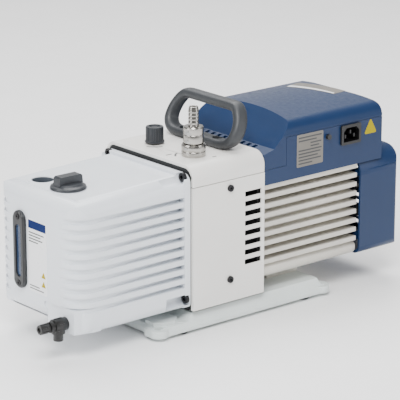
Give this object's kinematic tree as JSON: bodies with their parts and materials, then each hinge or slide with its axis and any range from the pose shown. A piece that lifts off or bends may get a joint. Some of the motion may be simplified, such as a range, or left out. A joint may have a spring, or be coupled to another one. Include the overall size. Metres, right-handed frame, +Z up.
{
  "type": "rotary vane vacuum pump",
  "caption": "Oil-sealed rotary vane vacuum pump: ribbed oil case, pump block with carry handle and hose inlet, finned motor with electrical housing and fan, on one base plate.",
  "frame": {"origin": "centre of the assembly's bounding box, on the plane the rubber feet stand on", "axes": "+X along the shaft from the oil case to the fan, +Z up, +Y away from the side with the mains inlet"},
  "size_m": [0.489, 0.157, 0.238],
  "materials": {
    "base_paint": "satin",
    "rubber_black": "matt",
    "dark_screw": "blackened",
    "cast_frame": "as cast",
    "block_paint": "satin",
    "handle_plastic": "fine grain",
    "case_paint": "satin",
    "window_frame": "anodised",
    "window_glass": "clear",
    "label_white": "smooth film",
    "cap_plastic": "moulded",
    "valve_black": "moulded",
    "brass_part": "turned",
    "nickel": "polished nickel",
    "stator_iron": "ground",
    "rotor_steel": "ground",
    "vane_composite": "laminate",
    "spring_steel": "rolled",
    "hub_alloy": "turned",
    "spider_red": "moulded",
    "fin_alloy": "die cast",
    "core_steel": "laminated",
    "copper_winding": "enamelled copper wire",
    "fan_black": "moulded",
    "blue_plastic": "moulded",
    "bright_screw": "zinc plated",
    "socket_black": "moulded",
    "capacitor_body": "drawn can"
  },
  "bodies": {
    "pump_frame": {"base_plate": "base_paint", "rubber_feet": "rubber_black", "filler_seal": "rubber_black", "inlet_o_ring": "rubber_black", "shaft_seal": "rubber_black", "case_gasket": "rubber_black", "base_screws": "dark_screw", "side_cover_screws": "dark_screw", "case_bolts": "dark_screw", "handle_screws": "dark_screw", "sight_glass_screws": "dark_screw", "module_bolts": "dark_screw", "pump_bracket": "cast_frame", "top_cover": "block_paint", "side_cover_near": "block_paint", "side_cover_far": "block_paint", "carry_handle": "handle_plastic", "oil_case": "case_paint", "sight_glass_frame": "window_frame", "sight_glass": "window_glass", "front_label": "label_white", "drain_valve_body": "valve_black", "gas_ballast_seat": "brass_part", "inlet_body": "nickel", "inlet_nut": "nickel", "hose_barb": "nickel", "stator_stage1": "stator_iron", "stator_stage2": "stator_iron", "middle_plate": "stator_iron", "end_plate": "stator_iron", "motor_bearings": "rotor_steel", "oil_baffle": "spring_steel", "motor_frame": "fin_alloy", "motor_end_shields": "fin_alloy", "stator_core": "core_steel", "stator_windings": "copper_winding", "fan_cover": "blue_plastic", "electrical_housing": "blue_plastic", "electrical_lid": "blue_plastic", "fan_cover_screws": "bright_screw", "power_inlet": "socket_black", "run_capacitor": "capacitor_body"},
    "rotor_group": {"pump_shaft": "rotor_steel", "rotor_stage1": "rotor_steel", "rotor_stage2": "rotor_steel", "coupling_hubs": "hub_alloy", "coupling_spider": "spider_red", "motor_rotor": "fin_alloy", "motor_shaft": "rotor_steel", "cooling_fan": "fan_black"},
    "vane_a1": {"vane_1a": "vane_composite"},
    "vane_b1": {"vane_1b": "vane_composite"},
    "vane_a2": {"vane_2a": "vane_composite"},
    "vane_b2": {"vane_2b": "vane_composite"},
    "reed_1": {"exhaust_reed_1": "spring_steel"},
    "reed_2": {"exhaust_reed_2": "spring_steel"},
    "filler_plug": {"oil_filler_cap": "cap_plastic"},
    "ballast_knob": {"gas_ballast_knob": "cap_plastic"},
    "drain_knob": {"drain_valve_knob": "valve_black"},
    "reset_plunger": {"reset_button": "socket_black"}
  },
  "joints": [
    {"name": "shaft_spin", "type": "hinge", "parent": "pump_frame", "child": "rotor_group", "pos_m": [-0.0605, 0, 0.098], "axis": [1, 0, 0], "continuous": true},
    {"name": "vane_a1_slide", "type": "slide", "parent": "rotor_group", "child": "vane_a1", "axis": [0, 1, 0], "range_m": [0, 0.004]},
    {"name": "vane_b1_slide", "type": "slide", "parent": "rotor_group", "child": "vane_b1", "axis": [0, -1, 0], "range_m": [0, 0.004]},
    {"name": "vane_a2_slide", "type": "slide", "parent": "rotor_group", "child": "vane_a2", "axis": [0, 1, 0], "range_m": [0, 0.004]},
    {"name": "vane_b2_slide", "type": "slide", "parent": "rotor_group", "child": "vane_b2", "axis": [0, -1, 0], "range_m": [0, 0.004]},
    {"name": "reed_1_lift", "type": "hinge", "parent": "pump_frame", "child": "reed_1", "pos_m": [-0.07035, 0.014, 0.13955], "axis": [0, 1, 0], "range_deg": [0, 4], "stiffness_Nm_per_rad": 0.02},
    {"name": "reed_2_lift", "type": "hinge", "parent": "pump_frame", "child": "reed_2", "pos_m": [-0.1245, 0.014, 0.13955], "axis": [0, 1, 0], "range_deg": [0, 4], "stiffness_Nm_per_rad": 0.02},
    {"name": "filler_turn", "type": "hinge", "parent": "pump_frame", "child": "filler_plug", "pos_m": [-0.1775, -0.0125, 0.1695], "axis": [0, 0, 1], "range_deg": [0, 90]},
    {"name": "ballast_turn", "type": "hinge", "parent": "pump_frame", "child": "ballast_knob", "pos_m": [-0.0305, 0.027, 0.184], "axis": [0, 0, 1], "range_deg": [0, 180]},
    {"name": "drain_turn", "type": "hinge", "parent": "pump_frame", "child": "drain_knob", "pos_m": [-0.2305, -0.049, 0.0385], "axis": [1, 0, 0], "range_deg": [0, 270]},
    {"name": "reset_press", "type": "slide", "parent": "pump_frame", "child": "reset_plunger", "axis": [0, 1, 0], "range_m": [0, 0.0025], "stiffness_N_per_m": 400}
  ]
}
